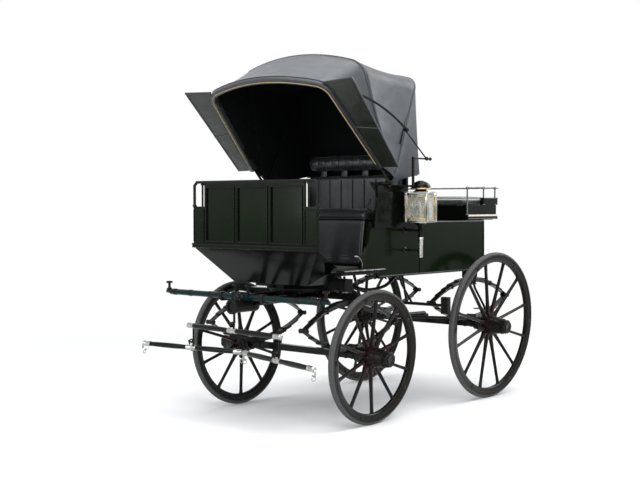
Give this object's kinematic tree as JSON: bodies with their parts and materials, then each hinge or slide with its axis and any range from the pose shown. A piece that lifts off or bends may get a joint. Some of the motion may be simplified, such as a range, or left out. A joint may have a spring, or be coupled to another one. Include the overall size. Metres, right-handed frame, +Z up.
{
  "type": "horse drawn carriage",
  "caption": "Four-wheeled open carriage with folding leather hood, panelled dash, groom's seat, lamps, leaf springs, turning front carriage and lead bars.",
  "frame": {"origin": "on the ground under the middle of the whole carriage", "axes": "+X forward along the pole, +Y to the carriage's left, +Z up"},
  "size_m": [2.8486, 1.7813, 2.4859],
  "materials": {
    "body_green": "high gloss coach paint",
    "gloss_black": "high gloss coach paint",
    "iron_black": "gloss black over forged iron",
    "wheel_black": "wood under gloss black paint",
    "tyre": "solid rubber",
    "leather_black": "padded black leather",
    "hood_leather": "taut enamelled leather with a pale sheen",
    "floor_wood": "painted boards",
    "nickel": "polished nickel",
    "lamp_nickel": "polished nickel and brass",
    "lamp_glass": "bevelled clear glass"
  },
  "bodies": {
    "body": {"body_sides": "body_green", "rear_panel": "body_green", "floor": "floor_wood", "boot_panel": "gloss_black", "dash": "body_green", "dash_rails": "iron_black", "seat_box": "gloss_black", "seat_cushion": "leather_black", "seat_back": "leather_black", "seat_sides": "body_green", "arm_irons": "nickel", "groom_seat_box": "gloss_black", "groom_cushion": "leather_black", "groom_rails": "nickel", "steps": "iron_black", "lamps": "lamp_nickel", "lamp_glass": "lamp_glass", "rear_springs": "iron_black", "rear_axle": "iron_black", "perch": "gloss_black", "brake_gear": "iron_black", "rear_footboard": "iron_black", "turntable_top": "iron_black", "hood_irons": "iron_black"},
    "front_carriage": {"turntable_bottom": "iron_black", "front_springs": "iron_black", "front_axle": "iron_black", "futchells": "gloss_black", "splinter_bar": "gloss_black", "roller_bolts": "iron_black", "pole_socket": "iron_black"},
    "wheel_front_left": {"wheel_front_left": "wheel_black", "tyre_front_left": "tyre"},
    "wheel_front_right": {"wheel_front_right": "wheel_black", "tyre_front_right": "tyre"},
    "wheel_rear_left": {"wheel_rear_left": "wheel_black", "tyre_rear_left": "tyre"},
    "wheel_rear_right": {"wheel_rear_right": "wheel_black", "tyre_rear_right": "tyre"},
    "rear_bow": {"rear_bow": "iron_black", "hood_back": "hood_leather"},
    "middle_bow": {"middle_bow": "iron_black", "hood_rear_leather": "hood_leather"},
    "front_bow": {"front_bow": "iron_black", "hood_front_leather": "hood_leather", "hood_flaps": "body_green"},
    "landau_lower_left": {"landau_lower_left": "iron_black"},
    "landau_upper_left": {"landau_upper_left": "iron_black"},
    "landau_lower_right": {"landau_lower_right": "iron_black"},
    "landau_upper_right": {"landau_upper_right": "iron_black"},
    "main_bar": {"main_bar": "gloss_black"},
    "single_bar_left": {"single_bar_left": "gloss_black"},
    "single_bar_right": {"single_bar_right": "gloss_black"}
  },
  "joints": [
    {"name": "steer", "type": "hinge", "parent": "body", "child": "front_carriage", "pos_m": [0.55, 0, 0.9], "axis": [0, 0, 1], "range_deg": [-32, 32]},
    {"name": "roll_front_left", "type": "hinge", "parent": "front_carriage", "child": "wheel_front_left", "pos_m": [0.55, 0.635, 0.45009], "axis": [0, 0.9987, -0.0506], "continuous": true},
    {"name": "roll_rear_left", "type": "hinge", "parent": "body", "child": "wheel_rear_left", "pos_m": [-0.875, 0.635, 0.54997], "axis": [0, 0.9987, -0.0506], "continuous": true},
    {"name": "roll_front_right", "type": "hinge", "parent": "front_carriage", "child": "wheel_front_right", "pos_m": [0.55, -0.635, 0.45009], "axis": [0, 0.9987, 0.0506], "continuous": true},
    {"name": "roll_rear_right", "type": "hinge", "parent": "body", "child": "wheel_rear_right", "pos_m": [-0.875, -0.635, 0.54997], "axis": [0, 0.9987, 0.0506], "continuous": true},
    {"name": "hood_fold", "type": "hinge", "parent": "body", "child": "rear_bow", "pos_m": [0.32, 0, 1.6], "axis": [0, -1, 0], "range_deg": [0, 32.2], "deforming": ["hood_back"]},
    {"name": "middle_bow_fold", "type": "hinge", "parent": "rear_bow", "child": "middle_bow", "pos_m": [0.32, 0, 1.6], "axis": [0, -1, 0], "range_deg": [0, 35.5], "deforming": ["hood_rear_leather"]},
    {"name": "front_bow_fold", "type": "hinge", "parent": "middle_bow", "child": "front_bow", "pos_m": [0.32, 0, 1.6], "axis": [0, -1, 0], "range_deg": [0, 17.5], "deforming": ["hood_front_leather", "hood_flaps"]},
    {"name": "landau_lower_left_turn", "type": "hinge", "parent": "body", "child": "landau_lower_left", "pos_m": [-0.025, 0.64, 1.778], "axis": [0, -1, 0], "range_deg": [-62.5, 0]},
    {"name": "landau_upper_left_turn", "type": "hinge", "parent": "landau_lower_left", "child": "landau_upper_left", "pos_m": [0.219, 0.653, 1.966], "axis": [0, -1, 0], "range_deg": [0, 185]},
    {"name": "landau_lower_right_turn", "type": "hinge", "parent": "body", "child": "landau_lower_right", "pos_m": [-0.025, -0.64, 1.778], "axis": [0, -1, 0], "range_deg": [-62.5, 0]},
    {"name": "landau_upper_right_turn", "type": "hinge", "parent": "landau_lower_right", "child": "landau_upper_right", "pos_m": [0.219, -0.653, 1.966], "axis": [0, -1, 0], "range_deg": [0, 185]},
    {"name": "main_bar_swing", "type": "hinge", "parent": "front_carriage", "child": "main_bar", "pos_m": [1.233, 0, 0.672], "axis": [0, 0, 1], "range_deg": [-12, 12]},
    {"name": "single_bar_left_swing", "type": "hinge", "parent": "main_bar", "child": "single_bar_left", "pos_m": [1.28014, 0.44853, 0.521], "axis": [0, 0, 1], "range_deg": [-12, 12]},
    {"name": "single_bar_right_swing", "type": "hinge", "parent": "main_bar", "child": "single_bar_right", "pos_m": [1.18586, -0.44853, 0.521], "axis": [0, 0, 1], "range_deg": [-12, 12]}
  ],
  "couplings": [
    {"joint": "middle_bow_fold", "follows": "hood_fold", "ratio": 1.1025},
    {"joint": "front_bow_fold", "follows": "hood_fold", "ratio": 0.54348},
    {"joint": "landau_lower_left_turn", "follows": "hood_fold", "ratio": -1.941},
    {"joint": "landau_upper_left_turn", "follows": "hood_fold", "ratio": 5.7453},
    {"joint": "landau_lower_right_turn", "follows": "hood_fold", "ratio": -1.941},
    {"joint": "landau_upper_right_turn", "follows": "hood_fold", "ratio": 5.7453}
  ]
}
